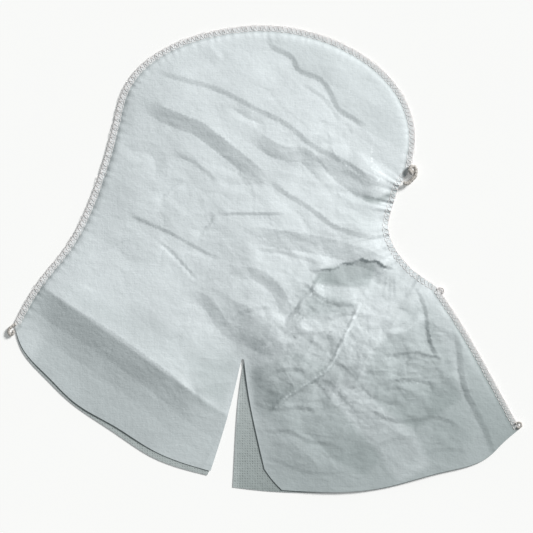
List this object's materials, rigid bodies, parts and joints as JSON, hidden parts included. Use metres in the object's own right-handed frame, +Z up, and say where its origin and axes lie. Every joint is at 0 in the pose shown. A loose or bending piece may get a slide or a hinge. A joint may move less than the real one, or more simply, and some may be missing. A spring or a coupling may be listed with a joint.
{
  "type": "protective hood",
  "caption": "Two-panel non-woven protective hood laid flat: rounded crown, elasticated face opening, and a split shoulder cape whose flaps fold up.",
  "frame": {"origin": "centre of the hood's outline, on the surface that it lies on", "axes": "+X towards the face opening, +Y towards the crown, +Z up, out of the surface; the wearer's left side is underneath"},
  "size_m": [0.5167, 0.4675, 0.0228],
  "materials": {
    "right_fabric": "matte spunbond non-woven, bluish white",
    "left_fabric": "matte spunbond non-woven, bluish white",
    "sewing_thread": "fuzzy polyester thread, pale grey",
    "elastic": "narrow knitted elastic, off-white"
  },
  "bodies": {
    "hood": {"right_crown_panel": "right_fabric", "left_crown_panel": "left_fabric", "crown_seam_needle_thread": "sewing_thread", "crown_seam_upper_looper_thread": "sewing_thread", "crown_seam_lower_looper_thread": "sewing_thread", "right_face_edge_needle_thread": "sewing_thread", "right_face_edge_looper_threads": "sewing_thread", "left_face_edge_needle_thread": "sewing_thread", "left_face_edge_looper_threads": "sewing_thread", "right_face_elastic": "elastic", "left_face_elastic": "elastic", "forehead_seam_tail": "sewing_thread"},
    "back_flap": {"right_back_flap": "right_fabric", "left_back_flap": "left_fabric", "back_seam_needle_thread": "sewing_thread", "back_seam_upper_looper_thread": "sewing_thread", "back_seam_lower_looper_thread": "sewing_thread", "back_corner_seam_tail": "sewing_thread"},
    "front_flap": {"right_front_flap": "right_fabric", "left_front_flap": "left_fabric", "throat_seam_needle_thread": "sewing_thread", "throat_seam_upper_looper_thread": "sewing_thread", "throat_seam_lower_looper_thread": "sewing_thread", "front_corner_seam_tail": "sewing_thread", "throat_seam_tail": "sewing_thread"}
  },
  "joints": [
    {"name": "back_flap_fold", "type": "hinge", "parent": "hood", "child": "back_flap", "pos_m": [-0.132, -0.0895, 0.0125], "axis": [-0.8203, 0.572, 0], "range_deg": [0, 130]},
    {"name": "front_flap_fold", "type": "hinge", "parent": "hood", "child": "front_flap", "pos_m": [0.0751, -0.06365, 0.0125], "axis": [-0.9385, -0.3453, 0], "range_deg": [0, 150]}
  ]
}
